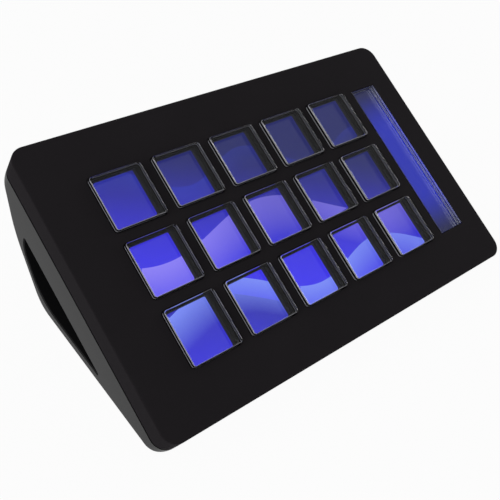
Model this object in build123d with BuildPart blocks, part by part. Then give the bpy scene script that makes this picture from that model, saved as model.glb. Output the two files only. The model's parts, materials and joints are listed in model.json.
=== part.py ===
"""Stream controller: a wedge-shaped desk keypad with clear keys over one shared display.

Lengths are millimetres and angles are degrees. X runs to the right, Y to the back and Z up. The
origin is on the table, under the middle of the outline. Most pieces lie parallel to the sloping
face: they are placed along the face from its centre and by their depth below it.
"""

import os
from math import atan2, cos, hypot, pi, radians, sin, tan

from build123d import *

os.makedirs("parts", exist_ok=True)

# Face and top cover
face_tilt = 21.0
face_corner_radius = 6.0
face_edge_radius = 0.6
face_thickness = 2.0
cover_height = 9.2
cover_wall = 1.8
rim_chamfer = 0.25

# Keys
key_rows = 3
key_columns = 5
key_width = 21.4
key_spacing = 5.15
key_corner_radius = 1.1
key_edge_radius = 0.5
key_proud = 2.0
key_gap = 0.4
key_flange = 0.9
key_flange_thickness = 0.9
key_rest_gap = 0.05

# Side strip
strip_spacing = 6.9
strip_width = 14.2
strip_end_inset = 0.45
strip_corner_radius = 0.4
strip_gap = 0.15
strip_edge_chamfer = 0.15
strip_flange = 1.2
strip_flange_thickness = 0.8
strip_tape_thickness = 0.2
strip_lens_gap = 0.6

# Silicone mat and switch foil
light_window_border = 2.1
light_window_radius = 0.6
mat_pad_width = 2.6
mat_pad_height = 1.35
mat_web_thickness = 0.4
mat_border = 1.6
mat_corner_radius = 2.0
foil_thickness = 0.25
foil_window_gap = 0.2

# Display module
lcd_left_border = 3.65
lcd_right_border = 3.75
lcd_end_border = 8.85
lcd_gap = 0.05
lcd_thickness = 1.4
backlight_frame = 2.3
backlight_height = 4.0
backlight_corner_radius = 1.0

# Chassis tray
tray_thickness = 0.8
tray_gap = 0.1
tray_fold_room = 1.0
tray_corner_radius = 2.0
tray_ear_drop = 1.2
tray_ear_width = 9.0
tray_ear_reach = 4.2
tray_screw_columns = 3
tray_screw_end_inset = 19.1
tray_screw_inset = 2.5
cover_boss_diameter = 4.6

# Main board
board_width = 104.0
board_depth = 56.0
board_thickness = 1.6
board_corner_radius = 2.0
board_standoff = 2.7
board_standoff_diameter = 5.0
board_back_gap = 0.5
board_screw_inset = 5.0
chip_height = 1.2
processor_width = 12.0
processor_x = -12.0
memory_width = 13.0
memory_depth = 8.0
memory_x = 9.0
regulator_width = 5.0
regulator_x = 28.0

# Ribbons and their connectors
ribbon_thickness = 0.2
ribbon_bend = 0.4
ribbon_drop = 1.1
display_ribbon_x = -14.0
display_ribbon_width = 30.0
key_ribbon_x = 20.0
key_ribbon_width = 16.0
connector_length = 4.0
connector_side = 1.5
connector_inset = 2.0
connector_headroom = 0.5

# Small screws: thin ones hold the tray and the board, stout ones hold the base
small_screw_diameter = 2.0
small_head_diameter = 3.8
small_head_height = 1.2
small_screw_length = 4.0
stout_screw_diameter = 2.6
stout_head_diameter = 5.0
stout_head_height = 1.8
stout_screw_length = 5.0
thread_gap = 0.05
screw_gap = 0.25
drive_width_share = 0.45
drive_slot_share = 0.15
drive_depth_share = 0.5

# Base shell
bay_room_left = 12.55
bay_room_right = 1.25
bay_room_end = 1.0
seam_gap = 0.6
tongue_gap = 0.15
tongue_thickness = 1.05
tongue_height = 2.0
toe_height = 3.05
toe_round_share = 1.475
sole_thickness = 3.0
heel_setback = 30.45
heel_radius = 13.0
rear_bend_run = 19.9
rear_bend_rise = 20.6
rear_bend_radius = 40.0
deck_clearance = 4.4
deck_thickness = 2.4
tunnel_rear_height = 6.2
tunnel_wall = 2.2
tunnel_heel_round_share = 0.47
tunnel_slope_round_share = 0.65
tunnel_front_radius = 0.4
tunnel_rear_radius = 1.0
tunnel_chamfer = 0.4
post_diameter = 8.0
post_floor = 3.5
post_side_inset = 21.0
post_front_inset = 20.3
post_rear_inset = 17.3

# Socket and its recess
socket_width = 8.94
socket_height = 3.26
socket_length = 7.3
socket_wall = 0.3
socket_tongue_width = 6.7
socket_tongue_thickness = 0.7
socket_tongue_setback = 1.2
socket_gap = 0.2
port_inset = 10.0
port_width = 13.5
port_height = 6.6
port_corner_radius = 1.2
port_wall = 2.2
port_side_wall = 1.6
port_ceiling = 1.4

# Rubber feet
foot_proud = 1.5
foot_recess = 0.8
foot_diameter = 12.0
foot_gap = 0.15
foot_edge_radius = 0.4
foot_side_inset = 19.0
foot_toe_inset = 11.0
foot_heel_inset = 14.0

# How far a cut runs past the solid that it leaves
overrun = 2.0

# Depths below the face, from the top of the stack to the bottom
flange_top = face_thickness + key_rest_gap
flange_bottom = flange_top + key_flange_thickness
mat_web_top = flange_bottom + mat_pad_height
foil_top = mat_web_top + mat_web_thickness
lcd_top = foil_top + foil_thickness + lcd_gap
backlight_top = lcd_top + lcd_thickness
tray_ear_depth = backlight_top + tray_ear_drop
tray_floor = backlight_top + backlight_height + tray_gap
tray_bottom = tray_floor + tray_thickness
board_top = tray_bottom + board_standoff
board_bottom = board_top + board_thickness
post_seat_depth = board_top + post_floor
deck_depth = board_bottom + deck_clearance
tunnel_roof_depth = deck_depth + deck_thickness
ribbon_run = tray_bottom + ribbon_drop
base_top = cover_height + seam_gap

# Plan, from the keys outwards: light windows, strip, display, tray, bay and face
light_window = key_width - 2 * light_window_border
key_pitch = key_width + key_spacing
grid_width = (key_columns - 1) * key_pitch
grid_depth = (key_rows - 1) * key_pitch
strip_offset = (grid_width + key_width + strip_width) / 2 + strip_spacing
strip_length = grid_depth + key_width - 2 * strip_end_inset
strip_hole_width = strip_width + 2 * strip_gap
strip_hole_length = strip_length + 2 * strip_gap
strip_flange_width = strip_width + 2 * strip_flange
strip_flange_length = strip_length + 2 * strip_flange
lcd_left = (grid_width + light_window) / 2 + lcd_left_border
lcd_right = strip_offset + strip_width / 2 + lcd_right_border
lcd_width = lcd_left + lcd_right
lcd_depth = grid_depth + light_window + 2 * lcd_end_border
backlight_width = lcd_width + 2 * backlight_frame
backlight_depth = lcd_depth + 2 * backlight_frame
tray_width = backlight_width + 2 * (tray_fold_room + tray_thickness)
tray_depth = backlight_depth + 2 * (tray_fold_room + tray_thickness)
base_wall = cover_wall + tongue_gap + tongue_thickness
face_width = tray_width + bay_room_left + bay_room_right + 2 * base_wall
face_depth = tray_depth + 2 * (tray_ear_reach + bay_room_end + base_wall)
display_x = (bay_room_left - bay_room_right) / 2
key_grid_x = display_x - lcd_width / 2 + lcd_left
strip_x = key_grid_x + strip_offset
port_along = face_depth / 2 - port_inset

# The sloping face and the height of its centre; the outline is centred on the origin
cos_tilt = cos(radians(face_tilt))
sin_tilt = sin(radians(face_tilt))
front_setback = face_edge_radius * (cos_tilt + sin_tilt - 1)
face_y = -(base_top * sin_tilt + front_setback) / 2
front_height = foot_proud + toe_height + base_top * cos_tilt
face_z = front_height + face_depth / 2 * sin_tilt
face_plane = Plane(origin=(0, face_y, face_z), x_dir=(1, 0, 0), z_dir=(0, -sin_tilt, cos_tilt))
face_axis = Axis(face_plane.origin, face_plane.z_dir)


def level(depth):
    """Plane parallel to the face at a depth below it."""
    return face_plane.offset(-depth)


def side_point(along, depth):
    """Side view (y, z) of a place along the face from its centre and at a depth below it."""
    return (
        face_y + along * cos_tilt + depth * sin_tilt,
        face_z + along * sin_tilt - depth * cos_tilt,
    )


def depth_at_height(along, height):
    """Depth below the face, at a place along it, of a height above the table."""
    return (face_z + along * sin_tilt - height) / cos_tilt


def y_at_height(start, end, height):
    """Side view y where the line through two points reaches a height."""
    return start[0] + (end[0] - start[0]) * (height - start[1]) / (end[1] - start[1])


def z_at_y(start, end, y):
    """Side view height where the line through two points reaches a y."""
    return start[1] + (end[1] - start[1]) * (y - start[0]) / (end[0] - start[0])


def moved_inward(start, end, distance):
    """Two side view points of a rising rear wall, moved square to it into the body."""
    run = end[0] - start[0]
    rise = end[1] - start[1]
    step_y = -rise / hypot(run, rise) * distance
    step_z = run / hypot(run, rise) * distance
    return (start[0] + step_y, start[1] + step_z), (end[0] + step_y, end[1] + step_z)


def across_plane(along, depth):
    """Plane square to the face's slope that looks to the back, at a place along it and a depth."""
    y, z = side_point(along, depth)
    return Plane(origin=(0, y, z), x_dir=(1, 0, 0), z_dir=face_plane.y_dir)


key_hole = key_width + 2 * key_gap
key_hole_radius = key_corner_radius + key_gap
key_places = {
    f"key_row{row + 1}_col{column + 1}": (
        key_grid_x - grid_width / 2 + column * key_pitch,
        grid_depth / 2 - row * key_pitch,
    )
    for row in range(key_rows)
    for column in range(key_columns)
}

tray_screw_along = tray_depth / 2 + tray_screw_inset
tray_screw_pitch = (tray_width - 2 * tray_screw_end_inset) / (tray_screw_columns - 1)
tray_screw_places = [
    (display_x + (column - (tray_screw_columns - 1) / 2) * tray_screw_pitch, side * tray_screw_along)
    for column in range(tray_screw_columns)
    for side in (-1, 1)
]

board_back = port_along - port_wall - board_back_gap
board_along = board_back - board_depth / 2
board_screw_places = [
    (side * (board_width / 2 - board_screw_inset), board_along + end * (board_depth / 2 - board_screw_inset))
    for side in (-1, 1)
    for end in (-1, 1)
]
case_screw_places = [
    (side * (face_width / 2 - post_side_inset), along)
    for side in (-1, 1)
    for along in (post_front_inset - face_depth / 2, face_depth / 2 - post_rear_inset)
]

# Top cover: the face with its key holes, the strip's opening and the outer wall down to the seam
with BuildPart() as top_cover:
    with BuildSketch(face_plane):
        RectangleRounded(face_width, face_depth, face_corner_radius)
    extrude(amount=-cover_height)
    fillet(top_cover.faces().sort_by(face_axis)[-1].edges(), face_edge_radius)
    with BuildSketch(level(face_thickness)):
        RectangleRounded(
            face_width - 2 * cover_wall, face_depth - 2 * cover_wall, face_corner_radius - cover_wall
        )
    extrude(amount=-(cover_height - face_thickness + overrun), mode=Mode.SUBTRACT)
    with BuildSketch(level(face_thickness)):
        with Locations(*tray_screw_places):
            Circle(cover_boss_diameter / 2)
    extrude(amount=-(tray_ear_depth - face_thickness))
    with BuildSketch(level(tray_ear_depth)):
        with Locations(*tray_screw_places):
            Circle(small_screw_diameter / 2 + thread_gap)
    extrude(amount=small_screw_length, mode=Mode.SUBTRACT)
    with BuildSketch(face_plane):
        with Locations(*key_places.values()):
            RectangleRounded(key_hole, key_hole, key_hole_radius)
        with Locations((strip_x, 0)):
            RectangleRounded(strip_hole_width, strip_hole_length, strip_corner_radius + strip_gap)
    extrude(amount=-(face_thickness + overrun), mode=Mode.SUBTRACT)
    chamfer(top_cover.faces().sort_by(face_axis)[-1].inner_wires().edges(), rim_chamfer)
    chamfer(top_cover.faces().sort_by(face_axis)[0].outer_wire().edges(), rim_chamfer)
top_cover.part.label = "top_cover"
export_step(top_cover.part, "parts/top_cover.step")

# Keys: clear blocks that stand proud of the face and are held under it by a flange
for key_name, place in key_places.items():
    with BuildPart() as key:
        with BuildSketch(level(flange_bottom)):
            with Locations(place):
                RectangleRounded(key_width, key_width, key_corner_radius)
        extrude(amount=flange_bottom + key_proud)
        fillet(key.faces().sort_by(face_axis)[-1].edges(), key_edge_radius)
        with BuildSketch(level(flange_bottom)):
            with Locations(place):
                RectangleRounded(
                    key_width + 2 * key_flange, key_width + 2 * key_flange, key_corner_radius + key_flange
                )
        extrude(amount=key_flange_thickness)
    key.part.label = key_name
    export_step(key.part, f"parts/{key_name}.step")

# Strip lens: the clear block over the display's right edge, flush with the face, its flange under it
lens_flange_top = face_thickness + strip_tape_thickness
lens_flange_bottom = lens_flange_top + strip_flange_thickness

with BuildPart() as strip_lens:
    with BuildSketch(face_plane):
        with Locations((strip_x, 0)):
            RectangleRounded(strip_width, strip_length, strip_corner_radius)
    extrude(amount=-(lcd_top - strip_lens_gap))
    chamfer(strip_lens.faces().sort_by(face_axis)[-1].edges(), strip_edge_chamfer)
    chamfer(strip_lens.faces().sort_by(face_axis)[0].edges(), strip_edge_chamfer)
    with BuildSketch(level(lens_flange_top)):
        with Locations((strip_x, 0)):
            RectangleRounded(strip_flange_width, strip_flange_length, strip_corner_radius + strip_flange)
    extrude(amount=-strip_flange_thickness)
strip_lens.part.label = "strip_lens"
export_step(strip_lens.part, "parts/strip_lens.step")

# Tape that bonds the lens's flange to the underside of the face
with BuildPart() as lens_tape:
    with BuildSketch(level(face_thickness)):
        with Locations((strip_x, 0)):
            RectangleRounded(strip_flange_width, strip_flange_length, strip_corner_radius + strip_flange)
            RectangleRounded(
                strip_hole_width, strip_hole_length, strip_corner_radius + strip_gap, mode=Mode.SUBTRACT
            )
    extrude(amount=-strip_tape_thickness)
lens_tape.part.label = "lens_tape"
export_step(lens_tape.part, "parts/lens_tape.step")

# Foam frame round the lens's foot, which keeps the display's light inside the strip
with BuildPart() as strip_foam:
    with BuildSketch(level(lens_flange_bottom)):
        with Locations((strip_x, 0)):
            RectangleRounded(strip_flange_width, strip_flange_length, strip_corner_radius + strip_flange)
            RectangleRounded(
                strip_hole_width, strip_hole_length, strip_corner_radius + strip_gap, mode=Mode.SUBTRACT
            )
    extrude(amount=-(lcd_top - lens_flange_bottom))
strip_foam.part.label = "strip_foam"
export_step(strip_foam.part, "parts/strip_foam.step")

# Silicone mat: one moulding with a springy pad under each key's flange, open over the display
mat_pad_outer = light_window + 2 * mat_pad_width
mat_width = grid_width + mat_pad_outer + 2 * mat_border
mat_depth = grid_depth + mat_pad_outer + 2 * mat_border

with BuildPart() as key_mat:
    with BuildSketch(level(foil_top)):
        with Locations((key_grid_x, 0)):
            RectangleRounded(mat_width, mat_depth, mat_corner_radius)
    extrude(amount=mat_web_thickness)
    with BuildSketch(level(mat_web_top)):
        with Locations(*key_places.values()):
            RectangleRounded(mat_pad_outer, mat_pad_outer, light_window_radius + mat_pad_width)
    extrude(amount=mat_pad_height)
    with BuildSketch(level(flange_bottom)):
        with Locations(*key_places.values()):
            RectangleRounded(light_window, light_window, light_window_radius)
    extrude(amount=-(mat_pad_height + mat_web_thickness + overrun), mode=Mode.SUBTRACT)
key_mat.part.label = "key_mat"
export_step(key_mat.part, "parts/key_mat.step")

# Switch foil: the printed contact sheet under the mat
foil_window = light_window + 2 * foil_window_gap

with BuildPart() as switch_foil:
    with BuildSketch(level(foil_top)):
        with Locations((key_grid_x, 0)):
            RectangleRounded(mat_width, mat_depth, mat_corner_radius)
        with Locations(*key_places.values()):
            Rectangle(foil_window, foil_window, mode=Mode.SUBTRACT)
    extrude(amount=-foil_thickness)
switch_foil.part.label = "switch_foil"
export_step(switch_foil.part, "parts/switch_foil.step")

# Display glass: the one panel seen through every key and the strip
with BuildPart() as lcd_panel:
    with BuildSketch(level(lcd_top)):
        with Locations((display_x, 0)):
            Rectangle(lcd_width, lcd_depth)
    extrude(amount=-lcd_thickness)
lcd_panel.part.label = "lcd_panel"
export_step(lcd_panel.part, "parts/lcd_panel.step")

# Backlight box under the glass
with BuildPart() as backlight:
    with BuildSketch(level(backlight_top)):
        with Locations((display_x, 0)):
            RectangleRounded(backlight_width, backlight_depth, backlight_corner_radius)
    extrude(amount=-backlight_height)
backlight.part.label = "backlight"
export_step(backlight.part, "parts/backlight.step")

# Chassis tray: pressed steel round the display, with ears for the cover and studs for board and base
fold_along = backlight_depth / 2 + tray_fold_room / 2
ear_length = tray_ear_reach + tray_thickness
ear_along = tray_depth / 2 + tray_ear_reach - ear_length / 2
ear_places = [(x, ear_along if along > 0 else -ear_along) for x, along in tray_screw_places]
stud_places = board_screw_places + case_screw_places

with BuildPart() as chassis_tray:
    with BuildSketch(level(tray_ear_depth)):
        with Locations((display_x, 0)):
            RectangleRounded(tray_width, tray_depth, tray_corner_radius)
    extrude(amount=-(tray_bottom - tray_ear_depth))
    with BuildSketch(level(tray_ear_depth)):
        with Locations(*ear_places):
            Rectangle(tray_ear_width, ear_length)
    extrude(amount=-tray_thickness)
    with BuildSketch(level(tray_ear_depth)):
        with Locations((display_x, 0)):
            RectangleRounded(
                tray_width - 2 * tray_thickness,
                tray_depth - 2 * tray_thickness,
                tray_corner_radius - tray_thickness,
            )
    extrude(amount=-(tray_floor - tray_ear_depth), mode=Mode.SUBTRACT)
    with BuildSketch(level(tray_bottom)):
        with Locations(*stud_places):
            Circle(board_standoff_diameter / 2)
    extrude(amount=-board_standoff)
    with BuildSketch(level(board_top)):
        with Locations(*board_screw_places):
            Circle(small_screw_diameter / 2 + thread_gap)
        with Locations(*case_screw_places):
            Circle(stout_screw_diameter / 2 + thread_gap)
    extrude(amount=board_standoff, mode=Mode.SUBTRACT)
    with BuildSketch(level(tray_ear_depth)):
        with Locations(*tray_screw_places):
            Circle(small_screw_diameter / 2 + screw_gap)
    extrude(amount=-tray_thickness, mode=Mode.SUBTRACT)
    with BuildSketch(level(tray_floor)):
        with Locations((display_ribbon_x, -fold_along)):
            Rectangle(display_ribbon_width + 2 * tray_fold_room, tray_fold_room)
        with Locations((key_ribbon_x, fold_along)):
            Rectangle(key_ribbon_width + 2 * tray_fold_room, tray_fold_room)
    extrude(amount=-tray_thickness, mode=Mode.SUBTRACT)
chassis_tray.part.label = "chassis_tray"
export_step(chassis_tray.part, "parts/chassis_tray.step")

# Main board
with BuildPart() as main_board:
    with BuildSketch(level(board_top)):
        with Locations((0, board_along)):
            RectangleRounded(board_width, board_depth, board_corner_radius)
        with Locations(*board_screw_places):
            Circle(small_screw_diameter / 2 + screw_gap, mode=Mode.SUBTRACT)
    extrude(amount=-board_thickness)
main_board.part.label = "main_board"
export_step(main_board.part, "parts/main_board.step")

# Processor, memory and regulator on the board's underside
with BuildPart() as board_chips:
    with BuildSketch(level(board_bottom)):
        with Locations((processor_x, board_along)):
            Rectangle(processor_width, processor_width)
        with Locations((memory_x, board_along)):
            Rectangle(memory_width, memory_depth)
        with Locations((regulator_x, board_along)):
            Rectangle(regulator_width, regulator_width)
    extrude(amount=-chip_height)
board_chips.part.label = "board_chips"
export_step(board_chips.part, "parts/board_chips.step")

# Ribbon connectors on the board's upper side
connector_top = tray_bottom + connector_headroom
display_connector_along = board_along - board_depth / 2 + connector_inset + connector_length / 2
key_connector_along = board_along + board_depth / 2 - connector_inset - connector_length / 2

with BuildPart() as ribbon_connectors:
    with BuildSketch(level(connector_top)):
        with Locations((display_ribbon_x, display_connector_along)):
            Rectangle(display_ribbon_width + 2 * connector_side, connector_length)
        with Locations((key_ribbon_x, key_connector_along)):
            Rectangle(key_ribbon_width + 2 * connector_side, connector_length)
    extrude(amount=-(board_top - connector_top))
ribbon_connectors.part.label = "ribbon_connectors"
export_step(ribbon_connectors.part, "parts/ribbon_connectors.step")

# Display ribbon: from the glass, round the backlight and under the tray to the board
with BuildPart() as display_ribbon:
    with BuildSketch(Plane.YZ.offset(display_ribbon_x - display_ribbon_width / 2)):
        with BuildLine():
            FilletPolyline(
                side_point(-lcd_depth / 2, lcd_top + lcd_thickness / 2),
                side_point(-fold_along, lcd_top + lcd_thickness / 2),
                side_point(-fold_along, ribbon_run),
                side_point(display_connector_along - connector_length / 2, ribbon_run),
                radius=ribbon_bend,
            )
        trace(line_width=ribbon_thickness)
    extrude(amount=display_ribbon_width)
display_ribbon.part.label = "display_ribbon"
export_step(display_ribbon.part, "parts/display_ribbon.step")

# Key ribbon: from the switch foil, over the back of the display and under the tray to the board
with BuildPart() as key_ribbon:
    with BuildSketch(Plane.YZ.offset(key_ribbon_x - key_ribbon_width / 2)):
        with BuildLine():
            FilletPolyline(
                side_point(mat_depth / 2, foil_top + foil_thickness / 2),
                side_point(fold_along, foil_top + foil_thickness / 2),
                side_point(fold_along, ribbon_run),
                side_point(key_connector_along + connector_length / 2, ribbon_run),
                radius=ribbon_bend,
            )
        trace(line_width=ribbon_thickness)
    extrude(amount=key_ribbon_width)
key_ribbon.part.label = "key_ribbon"
export_step(key_ribbon.part, "parts/key_ribbon.step")

# Socket for the computer's cable, under the board's back edge
socket_depth = board_bottom + socket_height / 2
socket_mouth = port_along - socket_gap

with BuildPart() as usb_socket:
    with BuildSketch(across_plane(socket_mouth, socket_depth)):
        SlotOverall(socket_width, socket_height)
    extrude(amount=-socket_length)
    with BuildSketch(across_plane(socket_mouth, socket_depth)):
        SlotOverall(socket_width - 2 * socket_wall, socket_height - 2 * socket_wall)
    extrude(amount=-(socket_length - socket_wall), mode=Mode.SUBTRACT)
    with BuildSketch(across_plane(socket_mouth - socket_length, socket_depth)):
        Rectangle(socket_tongue_width, socket_tongue_thickness)
    extrude(amount=socket_length - socket_tongue_setback)
usb_socket.part.label = "usb_socket"
export_step(usb_socket.part, "parts/usb_socket.step")

# Base shell: a wedge that carries the electronics bay on a loop, open from side to side
bay_width = face_width - 2 * base_wall
bay_depth = face_depth - 2 * base_wall
bay_corner_radius = face_corner_radius - base_wall
tongue_width = face_width - 2 * (cover_wall + tongue_gap)
tongue_depth = face_depth - 2 * (cover_wall + tongue_gap)
tongue_corner_radius = face_corner_radius - cover_wall - tongue_gap

front_top = side_point(-face_depth / 2, base_top)
toe = side_point(-face_depth / 2, depth_at_height(-face_depth / 2, foot_proud))
rear_top = side_point(face_depth / 2, base_top)
heel = (rear_top[0] - heel_setback, foot_proud)
rear_bend = (heel[0] + rear_bend_run, foot_proud + rear_bend_rise)
toe_radius = toe_height * toe_round_share

sole_top = foot_proud + sole_thickness
inner_bend, inner_top = moved_inward(rear_bend, rear_top, base_wall)
bay_roof = rear_top[1] + overrun
port_reach = face_depth / 2 - port_along + port_wall
port_block_top = socket_depth - port_height / 2 - port_ceiling

with BuildPart() as bay:
    with BuildSketch(level(base_top - overrun)):
        RectangleRounded(bay_width, bay_depth, bay_corner_radius)
    extrude(amount=-(deck_depth - base_top + overrun))
    with BuildSketch(Plane.YZ):
        with BuildLine():
            Polyline(
                (front_top[0], sole_top),
                (y_at_height(inner_bend, inner_top, sole_top), sole_top),
                (y_at_height(inner_bend, inner_top, bay_roof), bay_roof),
                (front_top[0], bay_roof),
                close=True,
            )
        make_face()
    extrude(amount=face_width / 2, both=True, mode=Mode.INTERSECT)
    with BuildSketch(level(board_top)):
        with Locations(*case_screw_places):
            Circle(post_diameter / 2)
    extrude(amount=-(deck_depth - board_top + overrun), mode=Mode.SUBTRACT)
    with BuildSketch(across_plane(port_along - port_wall, (port_block_top + deck_depth + overrun) / 2)):
        Rectangle(port_width + 2 * port_side_wall, deck_depth + overrun - port_block_top)
    extrude(amount=port_reach, mode=Mode.SUBTRACT)

roof_line = (side_point(-face_depth / 2, tunnel_roof_depth), side_point(face_depth / 2, tunnel_roof_depth))
slope_line = moved_inward(heel, rear_bend, tunnel_wall)
slope_angle = atan2(rear_bend_rise, rear_bend_run)
tunnel_heel_y = y_at_height(*slope_line, sole_top)
tunnel_heel_height = z_at_y(*roof_line, tunnel_heel_y) - sole_top
tunnel_reach = (tunnel_heel_height - tunnel_rear_height) / (tan(slope_angle) - sin_tilt / cos_tilt)
tunnel_rear_y = tunnel_heel_y + tunnel_reach
tunnel_corners = [
    (y_at_height(*roof_line, sole_top), sole_top),
    (tunnel_heel_y, sole_top),
    (tunnel_rear_y, z_at_y(*slope_line, tunnel_rear_y)),
    (tunnel_rear_y, z_at_y(*roof_line, tunnel_rear_y)),
]
tunnel_radii = [
    tunnel_front_radius,
    tunnel_heel_round_share * tunnel_reach / cos(slope_angle) / tan(slope_angle / 2),
    tunnel_slope_round_share * tunnel_rear_height / tan(pi / 4 - slope_angle / 2),
    tunnel_rear_radius,
]

with BuildPart() as base_shell:
    with BuildSketch(Plane.YZ):
        with BuildLine():
            FilletPolyline(
                front_top, toe, heel, rear_bend, rear_top, radius=[toe_radius, heel_radius, rear_bend_radius]
            )
            Line(rear_top, front_top)
        make_face()
    extrude(amount=face_width / 2, both=True)
    with BuildSketch(level(base_top - overrun)):
        RectangleRounded(face_width, face_depth, face_corner_radius)
    extrude(amount=-face_depth, mode=Mode.INTERSECT)
    add(bay.part, mode=Mode.SUBTRACT)
    with BuildSketch(level(base_top)):
        RectangleRounded(tongue_width, tongue_depth, tongue_corner_radius)
        RectangleRounded(bay_width, bay_depth, bay_corner_radius, mode=Mode.SUBTRACT)
    extrude(amount=seam_gap + tongue_height)
    with BuildSketch(Plane.YZ):
        with BuildLine():
            FilletPolyline(*tunnel_corners, close=True, radius=tunnel_radii)
        make_face()
    extrude(amount=face_width / 2 + overrun, both=True, mode=Mode.SUBTRACT)
    chamfer(base_shell.faces().sort_by(Axis.X)[0].inner_wires().edges(), tunnel_chamfer)
    chamfer(base_shell.faces().sort_by(Axis.X)[-1].inner_wires().edges(), tunnel_chamfer)
    with BuildSketch(level(board_top - overrun)):
        with Locations(*case_screw_places):
            Circle(stout_screw_diameter / 2 + screw_gap)
    extrude(amount=-(post_seat_depth - board_top + 2 * overrun), mode=Mode.SUBTRACT)
    with BuildSketch(level(post_seat_depth)):
        with Locations(*case_screw_places):
            Circle(stout_head_diameter / 2 + screw_gap)
    extrude(amount=-face_depth, mode=Mode.SUBTRACT)
    with BuildSketch(across_plane(port_along, socket_depth)):
        RectangleRounded(port_width, port_height, port_corner_radius)
    extrude(amount=port_reach, mode=Mode.SUBTRACT)
    with BuildSketch(across_plane(port_along + overrun, socket_depth)):
        SlotOverall(socket_width + 2 * socket_gap, socket_height + 2 * socket_gap)
    extrude(amount=-(port_wall + 2 * overrun), mode=Mode.SUBTRACT)
    foot_places = [
        (side * (face_width / 2 - foot_side_inset), y)
        for side in (-1, 1)
        for y in (toe[0] + foot_toe_inset, heel[0] - foot_heel_inset)
    ]
    with BuildSketch(Plane.XY.offset(foot_proud)):
        with Locations(*foot_places):
            Circle(foot_diameter / 2 + foot_gap)
    extrude(amount=foot_recess, mode=Mode.SUBTRACT)
base_shell.part.label = "base_shell"
export_step(base_shell.part, "parts/base_shell.step")

# Rubber feet in their recesses
with BuildPart() as rubber_feet:
    with BuildSketch(Plane.XY):
        with Locations(*foot_places):
            Circle(foot_diameter / 2)
    extrude(amount=foot_proud + foot_recess)
    fillet(rubber_feet.edges().group_by(Axis.Z)[0], foot_edge_radius)
rubber_feet.part.label = "rubber_feet"
export_step(rubber_feet.part, "parts/rubber_feet.step")


def screws(places, seat, diameter, length, head_diameter, head_height):
    """Pan-head screws with a cross drive, driven up towards the face from a seat at a depth below it."""
    with BuildPart() as group:
        with BuildSketch(level(seat)):
            with Locations(*places):
                Circle(diameter / 2)
        extrude(amount=length)
        with BuildSketch(level(seat)):
            with Locations(*places):
                Circle(head_diameter / 2)
        extrude(amount=-head_height)
        with BuildSketch(level(seat + head_height)):
            with Locations(*places):
                Rectangle(head_diameter * drive_width_share, head_diameter * drive_slot_share)
                Rectangle(head_diameter * drive_slot_share, head_diameter * drive_width_share)
        extrude(amount=head_height * drive_depth_share, mode=Mode.SUBTRACT)
    return group.part


tray_screws = screws(
    tray_screw_places,
    tray_ear_depth + tray_thickness,
    small_screw_diameter,
    small_screw_length,
    small_head_diameter,
    small_head_height,
)
tray_screws.label = "tray_screws"
export_step(tray_screws, "parts/tray_screws.step")

board_screws = screws(
    board_screw_places,
    board_bottom,
    small_screw_diameter,
    small_screw_length,
    small_head_diameter,
    small_head_height,
)
board_screws.label = "board_screws"
export_step(board_screws, "parts/board_screws.step")

case_screws = screws(
    case_screw_places,
    post_seat_depth,
    stout_screw_diameter,
    stout_screw_length,
    stout_head_diameter,
    stout_head_height,
)
case_screws.label = "case_screws"
export_step(case_screws, "parts/case_screws.step")
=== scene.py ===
"""Looks of the stream controller: a wedge-shaped desk keypad with clear keys over one shared display.

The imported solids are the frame, in metres, and every piece sits where its solid is. Sizes of details
and of patterns are in millimetres, and their names or their docstrings say so.
"""

import json
import logging
from dataclasses import dataclass
from enum import Enum
from functools import cache
from math import pi, radians, sin

import bmesh
import bpy
from mathutils import Euler, Matrix, Vector


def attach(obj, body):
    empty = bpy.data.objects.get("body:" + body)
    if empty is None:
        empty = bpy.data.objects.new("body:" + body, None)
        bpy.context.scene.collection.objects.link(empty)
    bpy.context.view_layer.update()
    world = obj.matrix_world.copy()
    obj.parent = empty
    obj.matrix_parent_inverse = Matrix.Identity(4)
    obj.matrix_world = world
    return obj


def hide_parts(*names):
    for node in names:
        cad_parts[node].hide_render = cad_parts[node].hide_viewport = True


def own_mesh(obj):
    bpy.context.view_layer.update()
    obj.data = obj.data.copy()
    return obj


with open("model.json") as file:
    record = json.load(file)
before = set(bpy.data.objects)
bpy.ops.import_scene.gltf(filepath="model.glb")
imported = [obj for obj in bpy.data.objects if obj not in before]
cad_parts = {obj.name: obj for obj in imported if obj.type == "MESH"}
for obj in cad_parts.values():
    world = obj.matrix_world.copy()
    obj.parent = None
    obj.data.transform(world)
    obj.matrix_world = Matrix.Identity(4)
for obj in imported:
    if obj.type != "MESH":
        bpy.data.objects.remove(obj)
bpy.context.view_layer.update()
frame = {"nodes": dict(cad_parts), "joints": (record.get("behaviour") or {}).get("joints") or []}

log = logging.getLogger("stream_controller")

Node = bpy.types.Node
Socket = bpy.types.NodeSocket
Outputs = bpy.types.NodeOutputs
Box = tuple[Vector, Vector]

MM = 0.001
# Corners nearer to each other than this are one corner.
WELD = 0.005 * MM
CASE = "case"
WHITE = (1.0, 1.0, 1.0, 1.0)
# Edges that turn by more than this stay sharp.
SHARP_DEG = 35.0
# A Mix node takes its two colours at these inputs and gives the mixed one at this output.
MIX_A, MIX_B, MIXED = 6, 7, 2


class Gloss(Enum):
    """How a surface throws light back, as a shader roughness."""

    POLISHED = 0.015
    GLOSSY = 0.06
    SATIN = 0.34
    SOFT = 0.48
    DRY = 0.85


class Lines(Enum):
    """Which way thin lines on a surface follow each other, as an axis of the sloping face."""

    ACROSS = "X"
    UP = "Z"


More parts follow.
